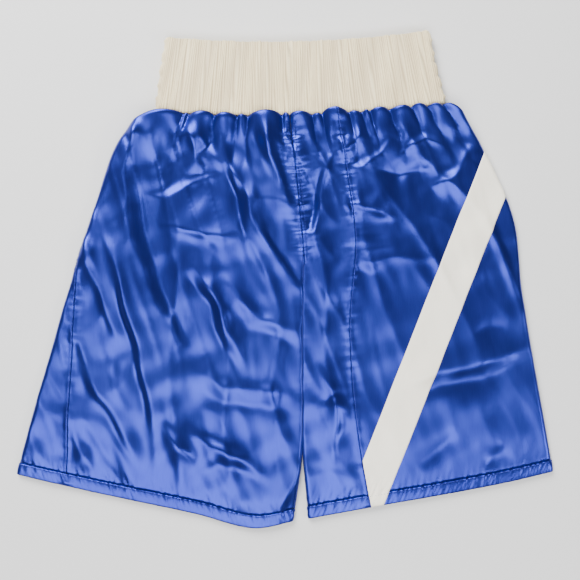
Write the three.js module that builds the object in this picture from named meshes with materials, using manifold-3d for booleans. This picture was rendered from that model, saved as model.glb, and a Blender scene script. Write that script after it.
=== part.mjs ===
// Satin boxing shorts, lying flat on a surface with the back uppermost.
// Millimetres, +Z up, +Y towards the waistband. The origin is the middle of the
// footprint, on the surface. "Left" and "right" are the wearer's.
import * as THREE from "three";
import { mergeVertices } from "three/addons/utils/BufferGeometryUtils.js";
import Module from "manifold-3d";

const wasm = await Module();
wasm.setup();

// ---------------------------------------------------------------- driving dimensions

const CLOTH = 0.8; // a satin panel with the ripples that it holds
const CLEARANCE = 0.37; // between pieces that touch
const SURFACE_GAP = 0.8; // single cloth rides this far up, on the doubled hems and the waistband
const THREAD = SURFACE_GAP - CLEARANCE; // height of a row of stitches
const WAIST_HEIGHT = 18; // height of the upper layer under the waistband, over the gathers
const HEM_HEIGHT = 9; // height of the upper layer at the hem
const PANEL_END = 0.966; // share of the leg's length where the panels end and the hem's stitching starts
const HEM_START = 0.972; // share of it where the turned-up hem starts
const CROTCH = 0.34; // share of the length where the two legs part
const CROTCH_EASE = 0.08; // share in which a leg's inner edge becomes round below it
const TURN_IN = 1.5; // radius at which a panel's edge turns in at the centre seam
const SEAM_GAP = 0.6; // between two panels at their seam
const ROWS = 28; // rows of faces from waist to hem

const BAND = {
  height: 75, // 3 inch elastic
  halfWidthTop: 138,
  halfWidthBottom: 152.5,
  thickness: 14, // both layers and the space between them
  wall: 4, // casing, elastic and casing again
  bow: 8, // sag of the middle below the ends
  centre: [15, 218],
  tilt: THREE.MathUtils.degToRad(1.5),
  joinAt: -11, // where the casing's ends are joined, from the band's middle
};

const TAPE = {
  width: 38,
  through: [174, -3], // a point on the middle line
  lean: THREE.MathUtils.degToRad(21.5), // from +Y towards +X
  lowest: 4, // height at which it ends, round the outer fold
};

// The edges of each half as it lies, seen from above: the waist seam from the
// centre out, the centre seam and inner leg, the hem and the outer fold.
const LEFT_EDGES = {
  waist: [[4, 169.8], [-66, 170.3], [-134, 173.8], [-158, 168]],
  inner: [[4, 169.8], [14, 100], [20.5, 28], [20.5, -100], [20, -180], [6, -250]],
  hem: [[6, -250], [-36, -256], [-124, -241], [-281, -204]],
  outer: [[-158, 168], [-181, 118], [-220, 12], [-256, -112], [-281, -204]],
};
const RIGHT_EDGES = {
  waist: [[6.4, 169.9], [74, 172.6], [140, 178.4], [184, 176.5]],
  inner: [[6.4, 169.9], [16.4, 100], [23, 28], [23.5, -100], [24, -180], [27, -252]],
  hem: [[27, -252], [282, -199.5]],
  outer: [[184, 176.5], [214, 136], [238, 70], [249, -8], [262, -92], [282, -199.5]],
};
// Where the side panels' seams run, along the cloth from the outer fold: below zero on
// the upper layer, above zero underneath. At the waist, at the hem, and by how far the
// middle of the seam bows from the line between them.
const SIDE_SEAMS = {
  left: { back: [28, -54, 0], front: [110, 180, 0] },
  right: { back: [-130, -198, -18], front: [20, 60, 0] },
};

// ---------------------------------------------------------------- materials

const satinBlue = new THREE.MeshStandardMaterial({ color: 0x2344c4, roughness: 0.32 });
const creamBand = new THREE.MeshStandardMaterial({ color: 0xe6ddcb, roughness: 0.7 });
const elasticWhite = new THREE.MeshStandardMaterial({ color: 0xd8d6d0, roughness: 0.85 });
const creamTape = new THREE.MeshStandardMaterial({ color: 0xefe6cf, roughness: 0.45 });
const blueThread = new THREE.MeshStandardMaterial({ color: 0x1b2f8c, roughness: 0.6 });
const creamThread = new THREE.MeshStandardMaterial({ color: 0xd9cfba, roughness: 0.6 });

// ---------------------------------------------------------------- the lie of the cloth

const { lerp, smoothstep, clamp } = THREE.MathUtils;

function curveThrough(points) {
  return new THREE.SplineCurve(points.map(([x, y]) => new THREE.Vector2(x, y)));
}

function heightAt(v) {
  return lerp(WAIST_HEIGHT, HEM_HEIGHT, v);
}

// One half of the garment: a patch between four edges, f from the centre out and
// v from waist to hem, that the cloth covers twice as a flattened tube.
class Half {
  constructor(edges, hand) {
    this.waist = curveThrough(edges.waist);
    this.inner = curveThrough(edges.inner);
    this.hem = curveThrough(edges.hem);
    this.outer = curveThrough(edges.outer);
    this.hand = hand; // +1 where f runs to +X, -1 where it runs to -X
  }

  // A Coons patch: the four edges blended, less the blend of their corners.
  plan(f, v) {
    const across = this.waist.getPointAt(f).lerp(this.hem.getPointAt(f), v);
    const down = this.inner.getPointAt(v).lerp(this.outer.getPointAt(v), f);
    const top = this.waist.getPointAt(0).lerp(this.waist.getPointAt(1), f);
    const bottom = this.hem.getPointAt(0).lerp(this.hem.getPointAt(1), f);
    return across.add(down).sub(top.lerp(bottom, v));
  }

  // The tube's cross-section at v. s is the way along the cloth: from the inner edge
  // over the upper layer, round the outer fold and back underneath.
  section(v, base = SURFACE_GAP, top = heightAt(v)) {
    const start = this.plan(0, v);
    const across = this.plan(1, v).sub(start);
    const width = across.length();
    across.normalize();
    const foldRadius = (top - base) / 2;
    const legShare = smoothstep(v, CROTCH, CROTCH + CROTCH_EASE);
    const turnRadius = lerp(TURN_IN, foldRadius, legShare);
    const turn = (turnRadius * Math.PI) / 2;
    const flat = width - foldRadius - turnRadius;
    const fold = foldRadius * Math.PI;
    const total = 2 * (turn + flat) + fold;

    const at = (s, n) => {
      const below = s > total / 2;
      const along = below ? total - s : s;
      let p, rise;
      if (along < turn) {
        const a = along / turnRadius;
        p = turnRadius - (turnRadius + n) * Math.cos(a);
        rise = foldRadius - turnRadius + (turnRadius + n) * Math.sin(a);
      } else if (along < turn + flat) {
        p = turnRadius + along - turn;
        rise = foldRadius + n;
      } else {
        const b = (along - turn - flat) / foldRadius;
        p = width - foldRadius + (foldRadius + n) * Math.sin(b);
        rise = (foldRadius + n) * Math.cos(b);
      }
      const f = clamp(p / width, 0, 1);
      const place = this.plan(f, v).addScaledVector(across, p - f * width);
      const z = (top + base) / 2 + (below ? -rise : rise);
      return new THREE.Vector3(place.x, place.y, z);
    };
    const foldStart = turn + flat;
    const foldEnd = foldStart + fold;
    return { at, turn, foldStart, foldEnd, total, middle: total / 2 };
  }
}

const halves = { left: new Half(LEFT_EDGES, -1), right: new Half(RIGHT_EDGES, 1) };

function seamAt(side, face, v) {
  const [waist, hem, bow] = SIDE_SEAMS[side][face];
  return halves[side].section(v).middle + lerp(waist, hem, v) + 4 * bow * v * (1 - v);
}

// ---------------------------------------------------------------- geometry from three.js shapes

// Places along a row: stops with a number of faces between each two of them. A stop
// that its neighbours have passed is pushed along, so that no face vanishes.
function spaced(stops, counts) {
  const least = 0.4;
  const marks = [...stops];
  for (let i = 1; i < marks.length; i++)
    marks[i] = Math.max(marks[i], marks[i - 1] + least * counts[i - 1]);
  marks[marks.length - 1] = stops[stops.length - 1];
  for (let i = marks.length - 2; i > 0; i--)
    marks[i] = Math.min(marks[i], marks[i + 1] - least * counts[i]);
  const places = [marks[0]];
  counts.forEach((count, i) => {
    for (let k = 1; k <= count; k++) places.push(lerp(marks[i], marks[i + 1], k / count));
  });
  return places;
}

// A box bent into a thin sheet on one half's tube. rowAt(v) gives the places along
// the row; low and high are the sheet's two faces, outwards from the cloth's outside.
function sheetOn(half, rowAt, { from = 0, to = PANEL_END, low = -CLOTH, high = 0, rows = ROWS } = {}) {
  const columns = rowAt(from).length - 1;
  const geometry = new THREE.BoxGeometry(1, 1, 1, columns, rows, 1);
  const levels = Array.from({ length: rows + 1 }, (_, i) => lerp(from, to, i / rows));
  const sections = levels.map((v) => half.section(v));
  const places = levels.map(rowAt);
  const position = geometry.attributes.position;
  for (let i = 0; i < position.count; i++) {
    const column = Math.round((position.getX(i) + 0.5) * columns);
    const up = Math.round((position.getY(i) + 0.5) * rows);
    const row = half.hand > 0 ? rows - up : up;
    const n = position.getZ(i) > 0 ? high : low;
    const point = sections[row].at(places[row][column], n);
    position.setXYZ(i, point.x, point.y, point.z);
  }
  return geometry;
}

// A torus of four-sided section bent to a ring. pointAt gives its corners: near is the
// side of the ring that its columns run anticlockwise round.
function squareRing(columns, pointAt) {
  const geometry = new THREE.TorusGeometry(2, 1, 4, columns);
  const position = geometry.attributes.position;
  for (let corner = 0; corner <= 4; corner++)
    for (let column = 0; column <= columns; column++) {
      const near = corner % 4 < 2;
      const outside = corner % 4 === 0 || corner % 4 === 3;
      const point = pointAt(column % columns, near, outside);
      position.setXYZ(corner * (columns + 1) + column, point.x, point.y, point.z);
    }
  return geometry;
}

// A band that goes right round one leg, on the surface below and over the panels' height.
function bandRound(half, from, to, thick) {
  const counts = [3, 12, 6, 12, 3];
  const columns = counts.reduce((sum, n) => sum + n);
  const [upper, lower] = [from, to].map((v) => {
    const section = half.section(v, 0, heightAt(v) + SURFACE_GAP);
    const { turn, foldStart, foldEnd, total } = section;
    return { section, places: spaced([0, turn, foldStart, foldEnd, total - turn, total], counts) };
  });
  return squareRing(columns, (column, near, outside) => {
    const { section, places } = near === half.hand > 0 ? upper : lower;
    return section.at(places[column], outside ? 0 : -thick);
  });
}

function toSolid(geometry) {
  const bare = geometry.clone();
  bare.deleteAttribute("normal");
  bare.deleteAttribute("uv");
  const merged = mergeVertices(bare, 1e-4);
  return new wasm.Manifold(
    new wasm.Mesh({
      numProp: 3,
      vertProperties: new Float32Array(merged.attributes.position.array),
      triVerts: new Uint32Array(merged.index.array),
    }),
  );
}

function toGeometry(solid) {
  const { numProp, vertProperties, triVerts } = solid.getMesh();
  const data = new THREE.InterleavedBuffer(vertProperties, numProp);
  const geometry = new THREE.BufferGeometry();
  geometry.setAttribute("position", new THREE.InterleavedBufferAttribute(data, 3, 0));
  geometry.setIndex(new THREE.BufferAttribute(triVerts, 1));
  return geometry.toNonIndexed();
}

// ---------------------------------------------------------------- leg panels

const leg = new THREE.Group();

function add(parent, name, geometry, material) {
  const mesh = new THREE.Mesh(geometry, material);
  mesh.name = name;
  parent.add(mesh);
}

function backPanel(side) {
  const half = halves[side];
  const crossesFold = SIDE_SEAMS[side].back[0] > 0;
  const rowAt = (v) => {
    const { turn, foldStart, foldEnd } = half.section(v);
    const end = seamAt(side, "back", v) - SEAM_GAP / 2;
    const start = SEAM_GAP / 2;
    if (!crossesFold) return spaced([start, turn, end], [3, 7]);
    return spaced([start, turn, foldStart, foldEnd, end], [3, 10, 6, 2]);
  };
  return sheetOn(half, rowAt);
}

function sidePanel(side) {
  const half = halves[side];
  const rowAt = (v) => {
    const { foldStart, foldEnd } = half.section(v);
    const start = seamAt(side, "back", v) + SEAM_GAP / 2;
    const end = seamAt(side, "front", v) - SEAM_GAP / 2;
    return spaced([start, foldStart, foldEnd, end], [4, 6, 4]);
  };
  return sheetOn(half, rowAt);
}

function frontPanel(side) {
  const half = halves[side];
  const rowAt = (v) => {
    const { turn, total } = half.section(v);
    const start = seamAt(side, "front", v) + SEAM_GAP / 2;
    return spaced([start, total - turn, total - SEAM_GAP / 2], [9, 3]);
  };
  return sheetOn(half, rowAt);
}

// The hem is the panels' own lower edge turned up inside: two layers, one band.
function hem(side) {
  return bandRound(halves[side], HEM_START, 1, 2 * CLOTH);
}

for (const side of ["left", "right"]) {
  add(leg, `back_panel_${side}`, backPanel(side), satinBlue);
  add(leg, `side_panel_${side}`, sidePanel(side), satinBlue);
  add(leg, `front_panel_${side}`, frontPanel(side), satinBlue);
  add(leg, `hem_${side}`, hem(side), satinBlue);
}

// ---------------------------------------------------------------- stitching

const onTheCloth = { low: CLEARANCE, high: CLEARANCE + THREAD };

function sideSeamStitching(side, face) {
  const halfWidth = 1.2;
  const rowAt = (v) => {
    const seam = seamAt(side, face, v);
    return [seam - halfWidth, seam + halfWidth];
  };
  return sheetOn(halves[side], rowAt, onTheCloth);
}

// Below the crotch the back and front panels meet on the leg's inner edge, so the
// stitching is one strip over the upper layer's end, kept to its own half of the gap.
function inseamStitching(side) {
  const rowAt = () => [0.1, 1.3];
  return sheetOn(halves[side], rowAt, { ...onTheCloth, from: CROTCH + CROTCH_EASE });
}

// The row of stitches round the leg that holds the turned-up hem.
function hemStitching(side) {
  const margin = 0.0015;
  return bandRound(halves[side], PANEL_END + margin, HEM_START - margin, 2 * CLOTH);
}

// The centre seam joins the halves from waist to crotch, on the upper layer or under it.
function centreSeamStitching(isBack) {
  const halfWidth = 2.5;
  const rows = 8;
  const geometry = new THREE.BoxGeometry(1, 1, 1, 1, rows, 1);
  const position = geometry.attributes.position;
  for (let i = 0; i < position.count; i++) {
    const v = (0.5 - position.getY(i)) * CROTCH;
    const place = halves.left.plan(0, v).lerp(halves.right.plan(0, v), 0.5);
    const rise = position.getZ(i) + 0.5;
    const low = isBack ? heightAt(v) + CLEARANCE : 0;
    position.setXYZ(i, place.x + 2 * position.getX(i) * halfWidth, place.y, low + rise * THREAD);
  }
  return geometry;
}

for (const side of ["left", "right"]) {
  for (const face of ["back", "front"])
    add(leg, `side_seam_stitching_${face}_${side}`, sideSeamStitching(side, face), blueThread);
  add(leg, `inseam_stitching_${side}`, inseamStitching(side), blueThread);
  add(leg, `hem_stitching_${side}`, hemStitching(side), blueThread);
}
add(leg, "centre_seam_stitching_back", centreSeamStitching(true), blueThread);
add(leg, "centre_seam_stitching_front", centreSeamStitching(false), blueThread);

// ---------------------------------------------------------------- side tape

// One broad woven tape down the right side panel, from round the outer fold at the hip
// to the hem, where the back seam cuts it off.
function sideTape() {
  const half = halves.right;
  const rowAt = (v) => {
    const { foldStart, foldEnd } = half.section(v);
    const start = seamAt("right", "back", v) + 2;
    const end = seamAt("right", "front", v) - SEAM_GAP / 2;
    return spaced([start, foldStart, foldEnd, end], [4, 6, 4]);
  };
  const overPanel = toSolid(sheetOn(half, rowAt, { ...onTheCloth, to: PANEL_END - 0.01 }));
  const long = 1000;
  const path = new THREE.BoxGeometry(TAPE.width, long, WAIST_HEIGHT);
  path.rotateZ(-TAPE.lean);
  path.translate(TAPE.through[0], TAPE.through[1], TAPE.lowest + WAIST_HEIGHT / 2);
  return toGeometry(overPanel.intersect(toSolid(path)));
}

add(leg, "side_stripe_tape", sideTape(), creamTape);

// ---------------------------------------------------------------- waistband

// A flattened ring's outline: straight above and below, half round at both ends.
function stadium(halfWidth, inset) {
  const straight = 8;
  const round = 6;
  const radius = BAND.thickness / 2 - inset;
  const reach = halfWidth - BAND.thickness / 2;
  const points = [];
  for (const end of [1, -1]) {
    for (let i = 0; i < straight; i++)
      points.push(new THREE.Vector2(end * lerp(-reach, reach, i / straight), -end * radius));
    for (let i = 0; i < round; i++) {
      const angle = (i / round) * Math.PI - Math.PI / 2;
      const away = reach + radius * Math.cos(angle);
      points.push(new THREE.Vector2(end * away, end * radius * Math.sin(angle)));
    }
  }
  return points;
}

// A ring of the waistband between two depths in its wall, from one height to another
// above its lower edge, narrowing upwards and sagging in the middle.
function bandRing(outerInset, innerInset, from, to) {
  const outer = stadium(BAND.halfWidthBottom, outerInset);
  const inner = stadium(BAND.halfWidthBottom, innerInset);
  return squareRing(outer.length, (column, near, outside) => {
    const { x, y: z } = (outside ? outer : inner)[column];
    const height = near ? from : to;
    const share = x / BAND.halfWidthBottom;
    const halfWidth = lerp(BAND.halfWidthBottom, BAND.halfWidthTop, height / BAND.height);
    const sag = BAND.bow * (1 - share * share);
    const y = height - BAND.height / 2 - sag;
    return new THREE.Vector3(share * halfWidth, y, z + BAND.thickness / 2);
  });
}

// The casing is one strip folded over the top of the elastic, open along the bottom.
function waistbandCasing() {
  const tube = toSolid(bandRing(0, BAND.wall, 0, BAND.height));
  const slot = toSolid(bandRing(CLOTH, BAND.wall - CLOTH, -5, BAND.height - 1.5));
  return toGeometry(tube.subtract(slot));
}

function waistbandElastic() {
  const inset = CLOTH + CLEARANCE;
  return bandRing(inset, BAND.wall - inset, 0.5, BAND.height - 2);
}

function waistSeamStitching() {
  return bandRing(CLOTH, CLOTH + 1, -1.5, -CLEARANCE);
}

// The join of the casing's two ends, down the middle of the back.
function waistbandJoinStitching() {
  const geometry = new THREE.BoxGeometry(1.5, BAND.height - 4, THREAD);
  const z = BAND.thickness + CLEARANCE + THREAD / 2;
  return geometry.translate(BAND.joinAt, -BAND.bow, z);
}

const waistband = new THREE.Group();
waistband.position.set(BAND.centre[0], BAND.centre[1], 0);
waistband.rotation.z = BAND.tilt;
add(waistband, "waistband_casing", waistbandCasing(), creamBand);
add(waistband, "waistband_elastic", waistbandElastic(), elasticWhite);
add(waistband, "waist_seam_stitching", waistSeamStitching(), creamThread);
add(waistband, "waistband_join_stitching", waistbandJoinStitching(), creamThread);

const shorts = new THREE.Group();
shorts.add(leg, waistband);

export default shorts;
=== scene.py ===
"""Satin boxing shorts, lying flat with the back uppermost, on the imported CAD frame.

Metres, +Z up, +Y towards the waistband. "Left" and "right" are the wearer's.
The body is one cloth: its folds are laid into it, it settles for a few frames, and it is
then read as a smooth surface to make each sewn panel, hem, tape and row of stitches.
"""

import math

import bpy
import numpy as np
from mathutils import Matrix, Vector


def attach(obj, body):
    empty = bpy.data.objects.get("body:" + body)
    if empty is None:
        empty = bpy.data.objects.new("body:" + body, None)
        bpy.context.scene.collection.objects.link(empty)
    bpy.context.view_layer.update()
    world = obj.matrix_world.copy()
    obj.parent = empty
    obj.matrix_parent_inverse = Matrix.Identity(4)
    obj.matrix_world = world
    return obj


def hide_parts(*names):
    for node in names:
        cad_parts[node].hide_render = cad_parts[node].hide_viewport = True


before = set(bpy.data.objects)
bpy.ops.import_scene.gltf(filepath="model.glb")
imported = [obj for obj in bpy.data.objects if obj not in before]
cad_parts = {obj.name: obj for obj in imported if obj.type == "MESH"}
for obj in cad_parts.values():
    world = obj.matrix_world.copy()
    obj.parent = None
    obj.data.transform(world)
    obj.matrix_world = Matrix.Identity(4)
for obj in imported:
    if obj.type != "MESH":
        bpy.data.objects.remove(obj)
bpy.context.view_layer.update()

MM = 0.001

# ------------ the garment's measures

BAND_HEIGHT = 75 * MM
BAND_HALF_TOP = 138 * MM
BAND_HALF_BOTTOM = 152.5 * MM
BAND_THICKNESS = 14 * MM
BAND_BOW = 8 * MM
BAND_CENTRE = np.array([15, 218]) * MM
BAND_TILT = math.radians(1.5)

CLOTH = 0.5 * MM  # the panels' thickness
THIN_CLOTH = 0.3 * MM  # where two layers lie on each other
LEG_LENGTH = 425  # millimetres from waist seam to hem edge
HEM_SHARE = 0.969  # share of a leg's length where the turned-up hem starts
CROTCH_SHARE = 0.34
CENTRE_ROW = 3.4  # millimetres from the centre seam to each of its rows of stitches
TAPE_WIDTH = 38 * MM
TAPE_POINT = np.array([174, -3]) * MM
TAPE_LEAN = math.radians(21.5)

# The edges of each half as it lies, from above, in millimetres: the waist seam from
# the centre out, the centre seam and inner leg, the hem and the outer fold.
LEFT_EDGES = {
    "waist": [(5, 171), (-66, 170), (-122, 173), (-152, 172)],
    "inner": [(5, 171), (14, 100), (20.5, 28), (21.6, 8), (20.8, -60), (20, -176), (10, -250)],
    "hem": [(10, -250), (-36, -257), (-99, -241), (-194, -221), (-281, -201)],
    "outer": [(-152, 172), (-177, 138), (-196, 86), (-220, 12), (-257, -114), (-281, -201)],
}
RIGHT_EDGES = {
    "waist": [(5, 171), (74, 174), (140, 179), (181, 180)],
    "inner": [(5, 171), (14, 100), (20.5, 28), (17.2, 8), (16.4, -60), (17, -165), (24, -248)],
    "hem": [(24, -248), (100, -234), (163, -223), (226, -211), (282, -198)],
    "outer": [(181, 180), (208, 138), (240, 66), (249, -9), (263, -93), (282, -198)],
}
# Side seams: millimetres along the cloth from the outer fold, below zero on the upper
# layer, at the waist and the hem, and how far the seam's middle bows from the line.
SIDE_SEAMS = {
    "left": {"back": (36, -54, 0), "front": (125, 180, 0)},
    "right": {"back": (-128, -196, -20), "front": (20, 60, 0)},
}

HALVES = ("left", "right")
HANDS = {"left": -1, "right": 1}  # which way along X each half lies from the centre

rng = np.random.default_rng(7)


# ------------ curves and surfaces


def distances(line):
    """The distance along a line at each of its points."""
    return np.concatenate([[0], np.cumsum(np.linalg.norm(np.diff(line, axis=0), axis=1))])


def follow(line, run, s):
    """A line's points at the distances s along it, where run is the distance at each point."""
    return np.stack([np.interp(s, run, line[:, k]) for k in range(line.shape[1])], -1)


def spline(points, per=24):
    """A Catmull-Rom curve through points, as a function of the share of its length."""
    p = np.array(points, float)
    p = np.vstack([2 * p[0] - p[1], p, 2 * p[-1] - p[-2]])
    t = np.linspace(0, 1, per, endpoint=False)[:, None]
    parts = []
    for a, b, c, d in zip(p, p[1:], p[2:], p[3:]):
        bend, twist = 2 * a - 5 * b + 4 * c - d, 3 * b - a - 3 * c + d
        parts.append(0.5 * (2 * b + (c - a) * t + bend * t**2 + twist * t**3))
    line = np.vstack([*parts, p[-2:-1]])
    run = distances(line)
    run /= run[-1]
    return lambda s: follow(line, run, s)


def coons(edges):
    """The patch between four edges: plan(f, v), with f from the centre out and v downwards."""
    waist, inner, hem, outer = (spline(edges[k]) for k in ("waist", "inner", "hem", "outer"))
    a, b = (np.array(edges["waist"][end], float) for end in (0, -1))
    c, d = (np.array(edges["hem"][end], float) for end in (0, -1))

    def plan(f, v):
        f, v = np.broadcast_arrays(f, v)
        g, w = f[..., None], v[..., None]
        across = waist(f) * (1 - w) + hem(f) * w
        down = inner(v) * (1 - g) + outer(v) * g
        corners = (a * (1 - g) + b * g) * (1 - w) + (c * (1 - g) + d * g) * w
        return across + down - corners

    return plan


PLANS = {"left": coons(LEFT_EDGES), "right": coons(RIGHT_EDGES)}


def smooth(x, low, high):
    """A soft step, from 0 at low to 1 at high."""
    t = np.clip((x - low) / (high - low), 0, 1)
    return t * t * (3 - 2 * t)


def beside(distance, reach):
    """1 on a line, falling away smoothly on both sides of it."""
    return np.exp(-((distance / reach) ** 2))


def distance_to_line(x, y, points):
    """How far each point is from a line, on which side of it, and its share along it."""
    p = np.array(points, float)
    best = np.full(x.shape, 1e9)
    side = np.zeros(x.shape)
    along = np.zeros(x.shape)
    lengths = np.linalg.norm(np.diff(p, axis=0), axis=1)
    run = np.concatenate([[0], np.cumsum(lengths)])
    for k, (a, b) in enumerate(zip(p, p[1:])):
        d = b - a
        t = np.clip(((x - a[0]) * d[0] + (y - a[1]) * d[1]) / (d @ d), 0, 1)
        ex, ey = x - a[0] - t * d[0], y - a[1] - t * d[1]
        dist = np.hypot(ex, ey)
        near = dist < best
        best = np.where(near, dist, best)
        side = np.where(near, np.sign(d[0] * ey - d[1] * ex), side)
        along = np.where(near, (run[k] + t * lengths[k]) / run[-1], along)
    return best, side, along


# ------------ folds laid into the cloth

# Folds of the upper layer, from above, in millimetres: lift of the crest (below zero for
# a crease), how far it falls away on the left and on the right of the line, and the line.
FOLDS = [
    # the left half's seat
    (6.2, 9, 32, [(-154, 170), (-163, 120), (-163, 80), (-153, 26), (-134, -20), (-106, -66)]),
    (-5.4, 10, 6, [(-151, 112), (-151, 78), (-141, 22), (-121, -26), (-94, -70)]),
    (2.6, 6, 30, [(-150, 88), (-122, 86), (-101, 97), (-80, 108), (-58, 113)]),
    (-4.8, 4, 4.5, [(-62, 124), (-51, 82), (-42, 44)]),
    (5.6, 8, 12, [(-62, 138), (-43, 94), (-34, 68), (-16, 36), (20, -14)]),
    (-3.4, 6, 5, [(-24, 58), (-6, 26), (20, -4)]),
    (5.8, 6.1, 12.6, [(-100, 170), (-92, 140), (-90, 112)]),
    (5.8, 6.1, 12.6, [(-20, 168), (-14, 130), (0, 100), (10, 70)]),
    (4.6, 25.2, 7, [(-130, 60), (-90, 52), (-50, 44)]),
    # the left leg's long creases
    (4, 16.8, 6.1, [(-186, 60), (-172, 10), (-158, -45), (-141, -112), (-134, -160), (-132, -214)]),
    (-2.6, 4, 4, [(-176, 4), (-164, -46), (-147, -113), (-139, -160)]),
    (5.8, 14.7, 6.1, [(-212, 62), (-200, 10), (-182, -30), (-172, -64)]),
    (-2.5, 4.5, 4.5, [(-210, 40), (-196, 6), (-180, -30)]),
    (3.2, 14.7, 5, [(-214, -84), (-190, -122), (-168, -158), (-148, -200)]),
    (-2, 4, 4, [(-200, -116), (-177, -156), (-155, -194)]),
    (3.4, 3.6, 10.5, [(-222, -150), (-208, -180), (-198, -212)]),
    (5, 7, 15, [(-92, 22), (-70, -22), (-50, -60), (-36, -100)]),
    (-3.4, 7.5, 6, [(-102, 12), (-82, -22), (-62, -60), (-48, -98)]),
    (3.2, 6, 17, [(-64, 10), (-44, -22), (-24, -40), (18, -52)]),
    (-1.8, 7.5, 7.5, [(-52, -22), (-38, -50), (-14, -55), (18, -70)]),
    (3.2, 7.5, 19, [(-96, -98), (-60, -110), (-24, -112), (16, -124)]),
    (-2.6, 7.5, 7.5, [(-92, -110), (-62, -127), (-24, -130), (16, -142)]),
    (4.6, 4.9, 16.8, [(-104, -150), (-72, -172), (-40, -186), (-14, -212)]),
    (-2.5, 7.5, 7.5, [(-92, -204), (-66, -192), (-40, -200), (-20, -216)]),
    (4.6, 4.8, 14.7, [(-128, -146), (-112, -170), (-92, -190)]),
    (4.4, 4.5, 24, [(16, -180), (4, -222), (-8, -262), (-16, -296)]),
    # the right half's seat
    (-5, 4, 6, [(37, 116), (31, 80), (25, 46)]),
    (4.8, 8, 12, [(44, 160), (48, 128), (38, 96), (32, 60), (36, 24)]),
    (3, 6, 9, [(52, 150), (60, 134), (72, 142), (79, 152), (83, 170)]),
    (3.4, 6, 29, [(56, 112), (80, 118), (100, 134), (112, 150)]),
    (4.2, 5.5, 30, [(112, 120), (128, 140), (142, 148), (162, 140), (182, 122)]),
    (4.2, 5.5, 21, [(152, 96), (177, 114), (196, 140)]),
    (-3.4, 10.5, 10.5, [(94, 116), (122, 112), (160, 118)]),
    (4.6, 16.8, 4.8, [(60, 84), (90, 74), (118, 64)]),
    # the right leg
    (-1.4, 8, 8, [(74, 52), (96, 50), (112, 47)]),
    (-1.4, 7, 7, [(56, 34), (90, 35), (118, 34)]),
    (2.2, 14.7, 6, [(62, 22), (90, 20), (124, 24), (170, 26)]),
    (-1.3, 7, 7, [(60, 12), (80, 10), (98, 6)]),
    (3.4, 21, 4.9, [(122, -112), (159, -96), (187, -90), (222, -84), (258, -66)]),
    (-3, 7.5, 9, [(130, -124), (159, -110), (187, -103), (222, -96), (256, -79)]),
    (-2.5, 9, 9, [(144, -196), (160, -174), (178, -154)]),
    (-2.5, 7.5, 7.5, [(208, -200), (218, -186), (232, -172)]),
    (-1.7, 10.5, 10.5, [(196, -56), (214, -48), (232, -46)]),
    (4.6, 4.8, 12.6, [(32, -84), (50, -112), (56, -150), (48, -196)]),
    (-2.5, 6, 6, [(34, -126), (52, -118), (68, -122)]),
]
# Where the gathered cloth is pinched at the waistband, by distance along each half's
# waist seam, as shares of it from the centre out.
PINCHES = {
    "left": [0, 0.05, 0.27, 0.34, 0.49, 0.655, 0.69, 1],
    "right": [0, 0.13, 0.19, 0.345, 0.42, 0.465, 0.58, 0.715, 0.81, 0.91, 1],
}
FOLD_STRENGTH = 1.3  # each fold's lift is multiplied by this
CREST_ROUNDING = 1.2  # millimetres
AT_SEAM = 165  # a fold whose line starts at a higher y than this hangs from the waist seam
WAIST_RUN = 170  # millimetres along each half's waist seam, about


def ripples(x, y, length, seed, waves=9):
    """Smooth random waves of about the given wavelength, from about -1 to 1."""
    dice = np.random.default_rng(seed)
    total = np.zeros(np.shape(x))
    for _ in range(waves):
        angle = dice.uniform(0, 2 * np.pi)
        k = 2 * np.pi / length * dice.uniform(0.6, 1.5)
        total += np.sin(k * (x * np.cos(angle) + y * np.sin(angle)) + dice.uniform(0, 2 * np.pi))
    return total / np.sqrt(waves)


def creases(x, y, length, seed):
    """A net of soft ridges with broad hollows between them, from 0 to 1."""
    return (1 - np.minimum(np.abs(ripples(x, y, length, seed=seed)), 1)) ** 2


def fold_height(x, y):
    """The folds' summed height at each point, in millimetres."""
    # The lines waver a little.
    x = x + 2.2 * ripples(x, y, 75, seed=11)
    y = y + 2.2 * ripples(x, y, 80, seed=12)
    height = np.zeros(x.shape)
    for lift, left, right, points in FOLDS:
        distance, side, along = distance_to_line(x, y, points)
        from_seam = points[0][1] > AT_SEAM
        taper = (1 - along**2) ** 0.8 if from_seam else (4 * along * (1 - along)) ** 1.1
        half = np.where(side > 0, left, right) * (0.55 + 0.45 * taper)
        fall = (np.sqrt(distance**2 + CREST_ROUNDING**2) - CREST_ROUNDING) / half
        height += FOLD_STRENGTH * lift * taper * np.exp(-fall)
    return height


def puffs(f, drop, pinches, tall):
    """Rounded puffs between the pinches of a gathered edge, which die out below it."""
    height = np.zeros(f.shape)
    for a, b in zip(pinches, pinches[1:]):
        share = np.clip((f - a) / (b - a), 0, 1)
        width = (b - a) * WAIST_RUN
        high = min(tall, 1.5 + 0.3 * width)
        reach = 14 + 0.7 * width
        height += high * np.sin(np.pi * share) ** 0.6 * np.exp(-drop / reach)
    return height


# ------------ cloth simulation

OUTER = 86  # the column of the outer fold
AROUND = 2 * OUTER  # the column where the tube closes again
ROWS = 136
FRAMES = 4
SCALE = 10  # the cloth is simulated ten times as large, where the solver is steadier
INSERT_LOW, INSERT_HIGH = 1.0, 1.6  # the insert's two faces, millimetres above the floor
ROW_START, ROW_GROWTH = 0.55, 0.45  # the rows lie closer together near the waist
BAND_FADE = 60  # millimetres below the waist seam over which the cloth comes down
CORNER_DRAW = 12  # millimetres that each gathered corner is drawn in
DEEPEST, DEEPEST_BLEND = -4.4, 1.6  # millimetres: the deepest hollow, and how softly it ends

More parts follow.
